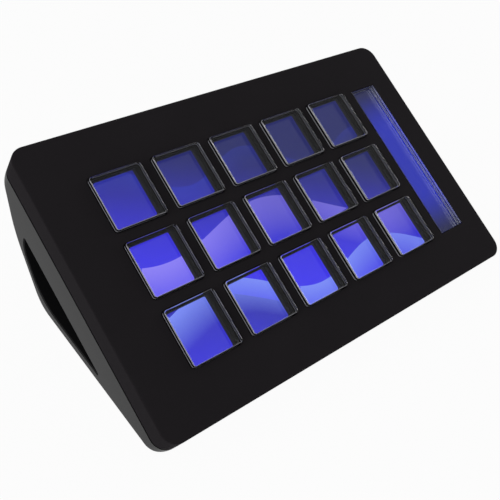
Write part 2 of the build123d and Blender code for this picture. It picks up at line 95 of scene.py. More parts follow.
def linear(colour: str) -> tuple[float, float, float, float]:
    """Turns an sRGB colour to linear light, by the curve of its standard.

    Args:
        colour: Hex text such as "#204080".

    Returns:
        Red, green, blue and an alpha of 1.
    """
    shares = [int(colour[i : i + 2], 16) / 255 for i in (1, 3, 5)]
    red, green, blue = (s / 12.92 if s <= 0.04045 else ((s + 0.055) / 1.055) ** 2.4 for s in shares)
    return red, green, blue, 1.0


class Graph:
    """A node tree, and the one way in which nodes are added to it."""

    def __init__(self, tree: bpy.types.NodeTree) -> None:
        """Takes the tree that gets the nodes."""
        self.tree = tree

    def add(self, kind: str, inputs: dict[str | int, object] | None = None, **settings: object) -> Outputs:
        """Adds a node with its settings and links.

        Args:
            kind: Blender's name of the node type, without the start that says which trees it is for.
            inputs: The node's inputs, as feed takes them.
            settings: The node's own options.

        Returns:
            The new node's outputs.
        """
        names = (start + kind for start in ("ShaderNode", "GeometryNode", "Node"))
        made = self.tree.nodes.new(next(name for name in names if hasattr(bpy.types, name)))
        for name, value in settings.items():
            setattr(made, name, value)
        self.feed(made, inputs or {})
        return made.outputs

    def feed(self, node: Node, inputs: dict[str | int, object]) -> None:
        """Sets and links a node's inputs.

        Args:
            node: The node.
            inputs: Socket name or number to a value, to the output that feeds it, or to a list of outputs.
        """
        for key, value in inputs.items():
            for source in value if isinstance(value, list) else [value]:
                if isinstance(source, Socket):
                    self.tree.links.new(source, node.inputs[key])
                else:
                    node.inputs[key].default_value = source


def welded(node: str) -> bmesh.types.BMesh:
    """Copies a solid, with the corners that its faces share made one.

    Args:
        node: The solid.

    Returns:
        The copy, which its user frees.
    """
    shape = bmesh.new()
    shape.from_mesh(frame["nodes"][node].data)
    bmesh.ops.remove_doubles(shape, verts=shape.verts, dist=WELD)
    return shape


class Axes:
    """A set of square axes through the frame's origin, to measure and place pieces along."""

    def __init__(self, normal: Vector) -> None:
        """Sets the axes up.

        Args:
            normal: The third axis; the first stays along X.
        """
        right = Vector((1, 0, 0))
        back = normal.cross(right).normalized()
        self.turn = Matrix((right, back, normal.normalized())).transposed()
        self.tilt = self.turn.to_euler().x

    def corners(self, points: list[Vector]) -> Box:
        """Finds the box of some points along these axes.

        Args:
            points: Points in the row frame.

        Returns:
            The lowest and the highest corner.
        """
        turned = [self.turn.transposed() @ p for p in points]
        low = Vector(min(p[i] for p in turned) for i in range(3))
        high = Vector(max(p[i] for p in turned) for i in range(3))
        return low, high

    def node(self, name: str) -> Box:
        """Gives a solid's lowest and highest corner along these axes."""
        return self.corners([v.co for v in frame["nodes"][name].data.vertices])

    def islands(self, name: str) -> list[Box]:
        """Finds the separate solids of one node.

        Args:
            name: The node.

        Returns:
            The lowest and highest corner of each solid, along these axes.
        """
        shape = welded(name)
        left = set(shape.verts)
        found = []
        while left:
            front = [left.pop()]
            island = []
            while front:
                vert = front.pop()
                island.append(vert.co.copy())
                near = {edge.other_vert(vert) for edge in vert.link_edges} & left
                left -= near
                front.extend(near)
            found.append(self.corners(island))
        shape.free()
        return sorted(found, key=lambda box: tuple(box[0]))

    def place(self, point: Vector) -> Matrix:
        """Gives the matrix that sets a piece at a point along these axes, turned with them."""
        return Matrix.Translation(self.turn @ point) @ self.turn.to_4x4()


# The keys go down square to the sloping face, and the feet stand on a level table.
FACE = Axes(-Vector(frame["joints"][0]["axis"]))
TABLE = Axes(Vector((0, 0, 1)))


def underside(low: Vector, high: Vector) -> Vector:
    """Gives the middle of a box's lower face."""
    return Vector(((low.x + high.x) / 2, (low.y + high.y) / 2, low.z))


@dataclass(frozen=True)
class Finish:
    """A surface: what it is made of and how it was made.

    Attributes:
        name: Common name of the material and its finish.
        colour: sRGB hex colour.
        gloss: How it throws light back.
        metallic: 1 for bare metal.
        ior: Refractive index of a surface that isn't bare metal.
        specular: Strength of the mirror-like part, 0.5 where the surface is smooth and clean.
        grain_mm: Spacing of the surface's grain.
        grain_depth_mm: Depth of that grain.
        grain_detail: Layers of finer noise in the grain.
        shift: How far the colour drifts over the surface, as a share.
        gloss_shift: How far the roughness drifts, as a share.
        drift_grains: Length of those drifts, in grains.
        drift_detail: Layers of finer noise in them.
    """

    name: str
    colour: str
    gloss: Gloss
    metallic: float = 0.0
    ior: float = 1.5
    specular: float = 0.5
    grain_mm: float = 0.5
    grain_depth_mm: float = 0.01
    grain_detail: float = 2.0
    shift: float = 0.15
    gloss_shift: float = 0.08
    drift_grains: float = 60.0
    drift_detail: float = 3.0

    @cache
    def material(self) -> bpy.types.Material:
        """Makes the finish's material, on its first use only.

        Returns:
            The material.
        """
        made = bpy.data.materials.new(self.name)
        made.use_nodes = True
        shader = made.node_tree.nodes["Principled BSDF"]
        tree = Graph(made.node_tree)
        own = linear(self.colour)
        tree.feed(shader, {"Metallic": self.metallic, "Base Color": own, "Roughness": self.gloss.value})
        if not self.metallic:
            tree.feed(shader, {"IOR": self.ior, "Specular IOR Level": self.specular})
        self.dress(tree, shader)
        return made

    def dress(self, tree: Graph, shader: Node) -> None:
        """Adds grain, and a slow drift of colour and gloss as handling and mould flow leave it.

        Args:
            tree: The material's nodes.
            shader: Its Principled shader.
        """
        place = tree.add("TexCoord")["Object"]
        scale = 1 / (self.drift_grains * self.grain_mm * MM)
        slow = {"Vector": place, "Scale": scale, "Detail": self.drift_detail}
        drift = tree.add("TexNoise", slow)["Fac"]
        own = linear(self.colour)[:3]
        deep = (*(c * (1 - self.shift) for c in own), 1.0)
        pale = (*(min(c * (1 + self.shift), 1.0) for c in own), 1.0)
        colour = tree.add("Mix", {0: drift, MIX_A: deep, MIX_B: pale}, data_type="RGBA")[MIXED]
        tree.feed(shader, {"Base Color": self.print_and_highlight(tree, place, colour)})
        self.relief(tree, shader, self.grain(tree, place), drift)

    def relief(self, tree: Graph, shader: Node, height: Socket, drift: Socket) -> None:
        """Gives the shader its grain and the drift of its gloss.

        Args:
            tree: The material's nodes.
            shader: Its Principled shader.
            height: Height of the grain, from 0 to 1.
            drift: The drift, from 0 to 1.
        """
        least = self.gloss.value * (1 - self.gloss_shift)
        most = min(self.gloss.value * (1 + self.gloss_shift), 1.0)
        rough = tree.add("MapRange", {"Value": drift, "To Min": least, "To Max": most})[0]
        depth = self.grain_depth_mm * MM
        bump = tree.add("Bump", {"Height": height, "Distance": depth, "Strength": 1.0})[0]
        tree.feed(shader, {"Roughness": rough, "Normal": bump})

    def grain(self, tree: Graph, place: Socket) -> Socket:
        """Gives the height of an even, cloudy grain, as spark-eroded moulds and rubber have.

        Args:
            tree: The material's nodes.
            place: Object coordinates.

        Returns:
            The height, from 0 to 1.
        """
        scale = 1 / (self.grain_mm * MM)
        fine = {"Vector": place, "Scale": scale, "Detail": self.grain_detail}
        return tree.add("TexNoise", fine)["Fac"]

    def print_and_highlight(self, tree: Graph, place: Socket, colour: Socket) -> Socket:
        """Gives the colour with the lines drawn on it: print, and painted highlight lines; nothing on a
        plain finish.
        """
        return colour


@dataclass(frozen=True)
class RolledMetal(Finish):
    """Metal with the fine streaks that rolling and wire brushing leave along X.

    Attributes:
        streak: Length of a streak, in grains.
    """

    streak: float = 40.0

    def grain(self, tree: Graph, place: Socket) -> Socket:
        """Gives the height of long thin streaks.

        Args:
            tree: The material's nodes.
            place: Object coordinates.

        Returns:
            The height, from 0 to 1.
        """
        stretch = (1 / self.streak, 1.0, 1.0)
        drawn = tree.add("Mapping", {"Vector": place, "Scale": stretch})[0]
        return super().grain(tree, drawn)


@dataclass(frozen=True)
class PrintAndHighlightLines(Finish):
    """A surface with thin parallel lines on it: print of conductors, and pale painted highlight lines that
    stand for ribs catching the light.

    Attributes:
        bands: Which way the lines follow each other.
        ink_and_highlight: sRGB hex colour of the lines: the print's colour, and the painted highlight's
            colour on the key walls.
        line_pitch_mm: Distance from line to line.
        line_share: Share of the pitch that a line takes.
        wander: How far the lines stray, 0 for straight ones.
    """

    bands: Lines = Lines.ACROSS
    ink_and_highlight: str = "#c0c0c0"
    line_pitch_mm: float = 1.0
    line_share: float = 0.5
    wander: float = 0.0

    def print_and_highlight(self, tree: Graph, place: Socket, colour: Socket) -> Socket:
        """Lays the lines over the colour.

        Args:
            tree: The material's nodes.
            place: Object coordinates.
            colour: The sheet's own colour.

        Returns:
            The colour with its lines.
        """
        level = (-FACE.tilt, 0.0, 0.0)
        flat = tree.add("Mapping", {"Vector": place, "Rotation": level})[0]
        # A wave of Blender's texture is 2 pi / 20 long at a scale of 1.
        scale = pi / 10 / (self.line_pitch_mm * MM)
        course = {"Vector": flat, "Scale": scale, "Distortion": self.wander}
        lines = tree.add("TexWave", course, bands_direction=self.bands.value)["Fac"]
        ink_and_highlight = tree.add("Math", {0: lines, 1: 1 - self.line_share}, operation="GREATER_THAN")[0]
        layers = {0: ink_and_highlight, MIX_A: colour, MIX_B: linear(self.ink_and_highlight)}
        return tree.add("Mix", layers, data_type="RGBA")[MIXED]


@dataclass(frozen=True)
class ClearAcrylic(Finish):
    """Cast or moulded clear acrylic: light passes, bends at the faces and leaves thin bright edges."""

    gloss_shift: float = 0.5

    def dress(self, tree: Graph, shader: Node) -> None:
        """Makes the shader clear, with the faint waviness that moulding leaves.

        Args:
            tree: The material's nodes.
            shader: Its Principled shader.
        """
        tree.feed(shader, {"Transmission Weight": 1.0})
        waves = self.grain(tree, tree.add("TexCoord")["Object"])
        self.relief(tree, shader, waves, waves)


@dataclass(frozen=True)
class Wave:
    """One rolling band of the display's picture, sharp along its crest and fading below it.

    Attributes:
        colour: sRGB hex colour at the crest.
        rise_mm: Height of the crest's middle line.
        swing_mm: How far the crest rises and falls.
        length_mm: Length of one rise and fall.
        phase: Where along the length the crest starts, in turns.
        fade_mm: Distance below the crest over which the band fades.
        strength: Share of the band's colour at the crest.
    """

    colour: str
    rise_mm: float
    swing_mm: float
    length_mm: float
    phase: float
    fade_mm: float
    strength: float


@dataclass(frozen=True)
class LitDisplay(Finish):
    """Glass of a lit display: a picture of rolling bands behind a glossy front.

    Attributes:
        near_left: Colour of the picture at its front left, where it is brightest.
        far_right: Colour of the picture at its back right: painted shade, the picture dimmed as the
            display's light falls off at a slanting view.
        back_weight: How much more that painted dimming grows from front to back than from left to right.
        dusk: Where the painted dimming starts and ends, in widths of the glass.
        far_bands: Share of the bands that is left at the back right, under the painted dimming.
        glow: Colour of the side strip's middle.
        glow_end: Colour of the side strip's ends.
        glow_fade: Where the one turns to the other, from the middle, in depths of the glass.
        glow_margin: How far the glow starts left of the strip, in widths of the strip.
        light: Strength of the picture's light.
        slant_deg: Turn of the bands against the key rows.
        waves: The rolling bands, from the back one to the front one.
    """

    near_left: str = "#382cf4"
    far_right: str = "#0a1462"
    back_weight: float = 1.5
    dusk: tuple[float, float] = (0.6, 1.75)
    far_bands: float = 0.2
    glow: str = "#1626b8"
    glow_end: str = "#0b103c"
    glow_fade: tuple[float, float] = (0.18, 0.44)
    glow_margin: float = 0.25
    light: float = 1.0
    slant_deg: float = 8.0
    waves: tuple[Wave, ...] = (
        Wave("#2c40d8", 24.0, 6.0, 60.0, 0.45, 9.0, 0.8),
        Wave("#9688ff", -1.0, 8.0, 105.0, 0.37, 17.0, 1.0),
        Wave("#1e2690", -34.0, 14.0, 180.0, 0.64, 40.0, 0.8),
        Wave("#7f92ff", -26.0, 6.0, 78.0, 0.83, 14.0, 1.0),
    )

    def dress(self, tree: Graph, shader: Node) -> None:
        """Lights the glass with the picture.

        Args:
            tree: The material's nodes.
            shader: Its Principled shader.
        """
        low, high = FACE.node("lcd_panel")
        place = tree.add("TexCoord")["Object"]
        level = (-FACE.tilt, 0.0, 0.0)
        moved = {"Vector": place, "Rotation": level, "Location": -(low + high) / 2}
        flat = tree.add("Mapping", moved)[0]
        picture = self.picture(tree, flat, high - low)
        lit = self.strip(tree, flat, high - low, picture)
        tree.feed(shader, {"Emission Color": lit, "Emission Strength": self.light})

    def picture(self, tree: Graph, flat: Socket, size: Vector) -> Socket:
        """Draws the rolling bands over painted shade: the picture dims towards the back right, as the
        display's light falls off at a slanting view.

        Args:
            tree: The material's nodes.
            flat: Coordinates on the glass from its middle.
            size: The glass's width, depth and thickness.

        Returns:
            The picture's colour.
        """
        across, along, _ = tree.add("SeparateXYZ", {"Vector": flat})
        right, back = (
            tree.add("MapRange", {"Value": way, "From Min": -end, "From Max": end})[0]
            for way, end in ((across, size.x / 2), (along, size.y / 2))
        )
        # Painted shade: the colour darkens and the bands fade towards the back right, as the display's
        # light falls off at a slanting view.
        weights = {0: back, 1: self.back_weight, 2: right}
        far = tree.add("Math", weights, operation="MULTIPLY_ADD")[0]
        start, end = self.dusk
        span = {"Value": far, "From Min": start, "From Max": end}
        share = tree.add("MapRange", span, interpolation_type="SMOOTHSTEP")[0]
        ends = {0: share, MIX_A: linear(self.near_left), MIX_B: linear(self.far_right)}
        colour = tree.add("Mix", ends, data_type="RGBA")[MIXED]
        dim = tree.add("MapRange", {"Value": share, "To Min": 1.0, "To Max": self.far_bands})[0]
        slant = (0.0, 0.0, radians(self.slant_deg))
        slanted = tree.add("Mapping", {"Vector": flat, "Rotation": slant})[0]
        run, rise, _ = tree.add("SeparateXYZ", {"Vector": slanted})
        for wave in self.waves:
            colour = self.band(tree, wave, run, rise, dim, colour)
        return colour

    def band(
        self, tree: Graph, wave: Wave, run: Socket, rise: Socket, dim: Socket, colour: Socket
    ) -> Socket:
        """Lays one rolling band over the picture.

        Args:
            tree: The material's nodes.
            wave: The band.
            run: Distance along the bands.
            rise: Distance square to them.
            dim: Share of the band that shows.
            colour: The picture so far.

        Returns:
            The picture with the band.
        """
        turns = {0: run, 1: 2 * pi / (wave.length_mm * MM), 2: 2 * pi * wave.phase}
        turn = tree.add("Math", turns, operation="MULTIPLY_ADD")[0]
        swing = tree.add("Math", {0: turn}, operation="SINE")[0]
        heights = {0: swing, 1: wave.swing_mm * MM, 2: wave.rise_mm * MM}
        crest = tree.add("Math", heights, operation="MULTIPLY_ADD")[0]
        below = tree.add("Math", {0: crest, 1: rise}, operation="SUBTRACT")[0]
        inside = tree.add("Math", {0: below, 1: 0.0}, operation="GREATER_THAN")[0]
        span = {"Value": below, "From Max": wave.fade_mm * MM, "To Min": wave.strength, "To Max": 0.0}
        fade = tree.add("MapRange", span)[0]
        shown = tree.add("Math", {0: fade, 1: inside}, operation="MULTIPLY")[0]
        share = tree.add("Math", {0: shown, 1: dim}, operation="MULTIPLY")[0]
        layers = {0: share, MIX_A: colour, MIX_B: linear(wave.colour)}
        return tree.add("Mix", layers, data_type="RGBA")[MIXED]

    def strip(self, tree: Graph, flat: Socket, size: Vector, picture: Socket) -> Socket:
        """Adds the plain glow under the side strip.

        Args:
            tree: The material's nodes.
            flat: Coordinates on the glass from its middle.
            size: The glass's width, depth and thickness.
            picture: The picture's colour.

        Returns:
            The whole display's colour.
        """
        lens_low, lens_high = FACE.node("strip_lens")
        middle = underside(*FACE.node("lcd_panel"))
        edge = lens_low.x - middle.x - self.glow_margin * (lens_high.x - lens_low.x)
        across, along, _ = tree.add("SeparateXYZ", {"Vector": flat})
        off_middle = tree.add("Math", {0: along}, operation="ABSOLUTE")[0]
        start, end = (share * size.y for share in self.glow_fade)
        span = {"Value": off_middle, "From Min": start, "From Max": end}
        fade = tree.add("MapRange", span, interpolation_type="SMOOTHSTEP")[0]
        ends = {0: fade, MIX_A: linear(self.glow), MIX_B: linear(self.glow_end)}
        glow = tree.add("Mix", ends, data_type="RGBA")[MIXED]
        side = tree.add("Math", {0: across, 1: edge}, operation="GREATER_THAN")[0]
        return tree.add("Mix", {0: side, MIX_A: picture, MIX_B: glow}, data_type="RGBA")[MIXED]


# Moulded ABS with a fine spark-eroded texture: nearly black, with no clear reflections. The texture is
# about 0.1 mm on the real face; it is drawn at 0.4 mm so that it shows.
COVER = Finish("abs_fine_texture", "#322f32", Gloss.DRY, ior=1.53, specular=0.04, grain_mm=0.4, shift=0.12)
# Moulded ABS, smoother than the cover: it mirrors the bright surroundings softly at a low angle.
BASE = Finish("abs_satin", "#1f1f20", Gloss.SATIN, ior=1.53, specular=0.1, grain_depth_mm=0.004)
# Clear moulded acrylic of the keys' tops and bottoms: bright edges; their sides get the painted shade
# below.
KEY = ClearAcrylic(
    "acrylic_clear", "#f4f6fa", Gloss.POLISHED, ior=1.49, grain_mm=6.0, grain_depth_mm=0.0008
)
# Side walls of the keys, and the lower part of their rounded edges, painted black as painted shade for the
# dark bands that the clear walls show; pale painted highlight lines on them stand for ribs that catch the
# light, and show through the clear top as thin grey lines.
DARK_SIDE = PrintAndHighlightLines(
    "key_wall_painted_shade",
    "#18181c",
    Gloss.GLOSSY,
    ior=1.49,
    specular=0.6,
    grain_mm=1.5,
    grain_depth_mm=0.004,
    bands=Lines.UP,
    # The pale lines are painted highlights that stand for ribs catching the light.
    ink_and_highlight="#d4d4dc",
    line_pitch_mm=1.65,
    line_share=0.26,
)
# Acrylic block of the side strip, polished above and below: the glow shows through it undimmed.
LENS = ClearAcrylic(
    "acrylic_block", "#e6e9f2", Gloss.POLISHED, ior=1.49, grain_mm=8.0, grain_depth_mm=0.0008
)
# Clear-setting glue in a thin bead, coloured pale as a painted highlight: it stands for the bright line
# along the strip block's far sides.
GLUE_HIGHLIGHT = Finish("glue_painted_highlight", "#dfe2ea", Gloss.GLOSSY, ior=1.48, grain_mm=2.0)
# Cover glass of the display: black and glossy, with the lit picture behind its reflections.
DISPLAY = LitDisplay("lit_display_glass", "#050506", Gloss.GLOSSY, ior=1.52, specular=0.9)
# Liquid silicone rubber, bloomed: soft black without a highlight.
SILICONE = Finish(
    "silicone_rubber", "#111112", Gloss.DRY, ior=1.41, specular=0.2, grain_mm=1.2, grain_depth_mm=0.006
)
# Moulded rubber of the feet, with a rough sole: dull dark grey.
RUBBER = Finish(
    "moulded_rubber", "#19191a", Gloss.DRY, ior=1.52, specular=0.3, grain_mm=0.8, grain_depth_mm=0.04
)
# Open-cell foam of the light seal: black and full of small pits.
FOAM = Finish("foam_seal", "#121213", Gloss.DRY, specular=0.2, grain_mm=0.7, grain_depth_mm=0.12)
# Black acrylic tape that bonds the strip's lens: a thin dark edge.
TAPE = Finish("bonding_tape", "#101011", Gloss.SOFT, grain_mm=0.6)
# Polyester film with silver ink tracks under black: lines that hardly show.
FOIL = PrintAndHighlightLines(
    "polyester_film", "#141314", Gloss.SOFT, ink_and_highlight="#262526", line_pitch_mm=2.4, line_share=0.3, wander=0.4
)
# Polyimide ribbon with copper tracks under it: amber with paler stripes.
RIBBON = PrintAndHighlightLines("polyimide_film", "#a8641c", Gloss.SATIN, ink_and_highlight="#c98a3c")
# Glass-fibre board under green solder mask, copper tracks showing paler.
BOARD = PrintAndHighlightLines(
    "solder_mask", "#0f4a2c", Gloss.SATIN, ink_and_highlight="#1b6b3f", line_pitch_mm=1.8, line_share=0.35, wander=3.0
)
# Moulded epoxy of the chips: dull near-black.
CHIP = Finish("moulded_epoxy", "#1b1b1d", Gloss.SOFT, grain_mm=0.3)
# Nylon of the ribbon connectors: warm off-white.
NYLON = Finish("nylon_natural", "#d9d2bf", Gloss.SOFT, ior=1.53)
# Moulded frame of the backlight: plain white.
LIGHT_BOX = Finish("polycarbonate_white", "#dcdcda", Gloss.SOFT, ior=1.58, grain_mm=0.6)
# Zinc-plated sheet steel, rolled: cool grey with long streaks.
TRAY = RolledMetal("zinc_plated_steel", "#a9adb2", Gloss.SATIN, metallic=1.0, grain_mm=0.25)
# Drawn steel of the socket, nickel-plated: warm grey.
SOCKET = RolledMetal("nickel_plated_steel", "#b9b8b4", Gloss.SATIN, metallic=1.0, grain_mm=0.2)
# Screws: bare plated steel inside, black oxide outside, both with short turning marks.
SCREW = RolledMetal("plated_steel", "#b4b4b2", Gloss.SATIN, metallic=1.0, grain_mm=0.2, streak=6.0)
BLACK_SCREW = RolledMetal(
    "black_oxide_steel", "#2a2a2c", Gloss.SATIN, metallic=1.0, grain_mm=0.2, streak=6.0
)
# Gold plating of the socket's contacts: small yellow glints.
GOLD = RolledMetal("gold_plating", "#d9ac52", Gloss.SATIN, metallic=1.0, grain_mm=0.1)


class Tree(Graph):
    """A Geometry Nodes tree with named sizes, ending in one mesh of one material."""

    def __init__(self, name: str, sizes: tuple[str, ...]) -> None:
        """Starts the tree.

        Args:
            name: The tree's name.
            sizes: Names of its inputs, all lengths in metres.
        """
        super().__init__(bpy.data.node_groups.new(name, "GeometryNodeTree"))
        sockets = self.tree.interface
        sockets.new_socket("Geometry", in_out="INPUT", socket_type="NodeSocketGeometry")
        for size in sizes:
            sockets.new_socket(size, in_out="INPUT", socket_type="NodeSocketFloat")
        sockets.new_socket("Material", in_out="INPUT", socket_type="NodeSocketMaterial")
        sockets.new_socket("Geometry", in_out="OUTPUT", socket_type="NodeSocketGeometry")
        self.inputs = self.add("GroupInput")
        self.sizes = [self.inputs[size] for size in sizes]

    def end(self, shape: Socket) -> None:
        """Ends the tree with real geometry of one material.

        Args:
            shape: The geometry so far.
        """
        real = self.add("RealizeInstances", {"Geometry": shape})[0]
        coated = {"Geometry": real, "Material": self.inputs["Material"]}
        painted = self.add("SetMaterial", coated)[0]
        self.add("GroupOutput", {"Geometry": painted})

    def end_on_points(self, shape: Socket) -> None:
        """Ends the tree with the shape on each of its starting points."""
        spread = {"Points": self.inputs["Geometry"], "Instance": shape}
        self.end(self.add("InstanceOnPoints", spread)[0])

    def grow(self, name: str, finish: Finish, points: list[Vector], **sizes: float) -> bpy.types.Object:
        """Runs the tree once and keeps the result as a plain mesh.

        Args:
            name: Name of the new object.
            finish: Its finish.
            points: Points that the tree starts from.
            sizes: The tree's inputs, with low lines for spaces, in millimetres.

        Returns:
            The object, which holds no modifier.
        """
        mesh = bpy.data.meshes.new(name)
        mesh.from_pydata([tuple(p) for p in points], [], [])
        made = bpy.data.objects.new(name, mesh)
        modifier = made.modifiers.new(self.tree.name, "NODES")
        modifier.node_group = self.tree
        items = self.tree.interface.items_tree
        sockets = {i.name: i.identifier for i in items if i.item_type == "SOCKET" and i.in_out == "INPUT"}
        modifier[sockets["Material"]] = finish.material()
        for size, value in sizes.items():
            modifier[sockets[size.replace("_", " ")]] = value * MM
        bpy.context.scene.collection.objects.link(made)
        graph = bpy.context.evaluated_depsgraph_get()
        made.data = bpy.data.meshes.new_from_object(made.evaluated_get(graph))
        made.modifiers.clear()
        bpy.data.meshes.remove(mesh)
        made.data.name = name
        return made


# Rings that a rounded block is made of, and how many of them are at its foot.
BLOCK_RINGS = 11
FOOT_RINGS = 3


def rounded_block(
    tree: Graph,
    section: Socket,
    half_width: Socket,
    height: Socket,
    edge: Socket,
    flange: Socket | float,
    flange_height: Socket,
) -> Socket:
    """Raises a section to a closed block with a flange at its foot and a rounded upper edge.

    Args:
        tree: The tree that gets the nodes.
        section: A closed curve round the origin.
        half_width: Half of the section's width.
        height: The block's height.
        edge: Radius of the upper edge.
        flange: How far the flange stands out.
        flange_height: The flange's height.

    Returns:
        The block's mesh, standing on the origin.
    """
    index = tree.add("InputIndex")[0]
    step = tree.add("Math", {0: index, 1: float(FOOT_RINGS)}, operation="SUBTRACT")[0]
    from_edge = tree.add("Math", {0: step, 1: 0.0}, operation="MAXIMUM")[0]
    quarter = pi / 2 / (BLOCK_RINGS - FOOT_RINGS - 1)
    angle = tree.add("Math", {0: from_edge, 1: quarter}, operation="MULTIPLY")[0]
    lift = tree.add("Math", {0: angle}, operation="SINE")[0]
    draw = tree.add("Math", {0: angle}, operation="COSINE")[0]
    wall = tree.add("Math", {0: height, 1: edge}, operation="SUBTRACT")[0]
    upper = tree.add("Math", {0: lift, 1: edge, 2: wall}, operation="MULTIPLY_ADD")[0]
    # The first ring is on the ground, the next two are at the flange's top, a hair apart. Ring numbers
    # are told apart half-way between two of them.
    off_ground = tree.add("Math", {0: index, 1: 1.0}, operation="MINIMUM")[0]
    at_flange = tree.add("Math", {0: off_ground, 1: flange_height}, operation="MULTIPLY")[0]
    second = tree.add("Math", {0: index, 1: FOOT_RINGS - 1.5}, operation="GREATER_THAN")[0]
    hair = {0: second, 1: 2 * WELD, 2: at_flange}
    lower = tree.add("Math", hair, operation="MULTIPLY_ADD")[0]
    is_foot = tree.add("Math", {0: index, 1: FOOT_RINGS - 0.5}, operation="LESS_THAN")[0]
    either = {"Switch": is_foot, "False": upper, "True": lower}
    rise = tree.add("Switch", either, input_type="FLOAT")[0]
    # Each ring is the section, drawn in by the rounding or let out by the flange.
    inset = tree.add("Math", {0: 1.0, 1: draw}, operation="SUBTRACT")[0]
    drawn_in = tree.add("Math", {0: inset, 1: edge}, operation="MULTIPLY")[0]
    is_flange = tree.add("Math", {0: 1.0, 1: second}, operation="SUBTRACT")[0]
    let_out = tree.add("Math", {0: is_flange, 1: flange}, operation="MULTIPLY")[0]
    reach = tree.add("Math", {0: let_out, 1: drawn_in}, operation="SUBTRACT")[0]
    share = tree.add("Math", {0: reach, 1: half_width}, operation="DIVIDE")[0]
    scale = tree.add("Math", {0: share, 1: 1.0}, operation="ADD")[0]
    line = tree.add("MeshLine", {"Count": BLOCK_RINGS, "Offset": (0.0, 0.0, 1.0)})[0]
    path = tree.add("MeshToCurve", {"Mesh": line})[0]
    spot = tree.add("CombineXYZ", {"Z": rise})[0]
    raised = tree.add("SetPosition", {"Geometry": path, "Position": spot})[0]
    swept = {"Curve": raised, "Profile Curve": section, "Scale": scale, "Fill Caps": True}
    return tree.add("CurveToMesh", swept)[0]


def rounded_rectangle(tree: Graph, width: Socket, depth: Socket, corner: Socket, steps: int) -> Socket:
    """Draws a rectangle with round corners.

    Args:
        tree: The tree that gets the nodes.
        width: Size along X.
        depth: Size along Y.
        corner: Radius of the corners.
        steps: How finely each corner is drawn.

    Returns:
        The closed curve.
    """
    sides = {"Width": width, "Height": depth}
    outline = tree.add("CurvePrimitiveQuadrilateral", sides)[0]
    corners = {"Curve": outline, "Radius": corner, "Count": steps}
    return tree.add("FilletCurve", corners, mode="POLY")[0]


def finish_mesh(piece: bpy.types.Object, place: Matrix) -> None:
    """Sets a grown mesh in its place and shades it smooth, with its corners kept.

    Args:
        piece: The object.
        place: Where its own origin goes in the row frame.
    """
    shape = bmesh.new()
    shape.from_mesh(piece.data)
    bmesh.ops.recalc_face_normals(shape, faces=shape.faces)
    shape.to_mesh(piece.data)
    shape.free()
    piece.data.transform(place)
    piece.data.shade_smooth()
    piece.data.set_sharp_from_angle(angle=radians(SHARP_DEG))


def stand_for(piece: bpy.types.Object, body: str, node: str) -> None:
    """Lets a new piece ride on a body in a solid's stead.

    Args:
        piece: The piece.
        body: The body that it moves with.
        node: The solid, which it hides.
    """
    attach(piece, body)
    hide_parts(node)
    log.info("%s rides on %s and stands for %s", piece.name, body, node)


def add_to_case(piece: bpy.types.Object) -> None:
    """Lets a new piece ride on the case, with no solid of its own.

    Args:
        piece: The piece.
    """
    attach(piece, CASE)
    log.info("%s rides on %s", piece.name, CASE)


Coats = tuple[tuple[str, Finish], ...]


@dataclass(frozen=True)
class Coated:
    """Solids that are shown as they are, each with its finish."""

    solids: Coats

    def build(self) -> None:
        """Gives each solid its finish."""
        for node, finish in self.solids:
            data = frame["nodes"][node].data
            data.materials.clear()
            data.materials.append(finish.material())
            log.info("%s is %s", node, finish.name)


@dataclass(frozen=True)
class Casing(Coated):
    """The two mouldings: the cover with the face, and the base with its tunnel."""

    solids: Coats = (("top_cover", COVER), ("base_shell", BASE))


@dataclass(frozen=True)
class ClearKeys:
    """The keys: clear blocks with a flange that the face holds down. Sizes are millimetres.

    Attributes:
        corner: Radius of the corners, seen from above.
        edge: Radius of the upper edge.
        wall_slope: Upward share of its normal under which a face is a wall, and gets the painted shade of
            the walls.
    """

    width: float = 21.4
    corner: float = 1.1
    edge: float = 0.7
    flange: float = 0.9
    flange_height: float = 0.9
    corner_steps: int = 8
    wall_slope: float = 0.55

    def tree(self) -> Tree:
        """Makes the tree that grows one key.

        Returns:
            The tree.
        """
        made = Tree("clear_key", ("Width", "Corner", "Edge", "Height", "Flange", "Flange height"))
        width, corner, edge, height, flange, flange_height = made.sizes
        section = rounded_rectangle(made, width, width, corner, self.corner_steps)
        half = made.add("Math", {0: width, 1: 0.5}, operation="MULTIPLY")[0]
        made.end(rounded_block(made, section, half, height, edge, flange, flange_height))
        return made

    def build(self) -> None:
        """Grows each key where its solid is."""
        tree = self.tree()
        for joint in frame["joints"]:
            key = joint["child"]
            low, high = FACE.node(key)
            piece = tree.grow(
                f"{key}_cap",
                KEY,
                [],
                Width=self.width,
                Corner=self.corner,
                Edge=self.edge,
                Height=(high.z - low.z) / MM,
                Flange=self.flange,
                Flange_height=self.flange_height,
            )
            # The walls, and the lower part of the rounded edge, get the painted shade: black, with pale
            # painted highlight lines.
            piece.data.materials.append(DARK_SIDE.material())
            for side in piece.data.polygons:
                side.material_index = int(abs(side.normal.z) < self.wall_slope)
            finish_mesh(piece, FACE.place(underside(low, high)))
            stand_for(piece, key, key)


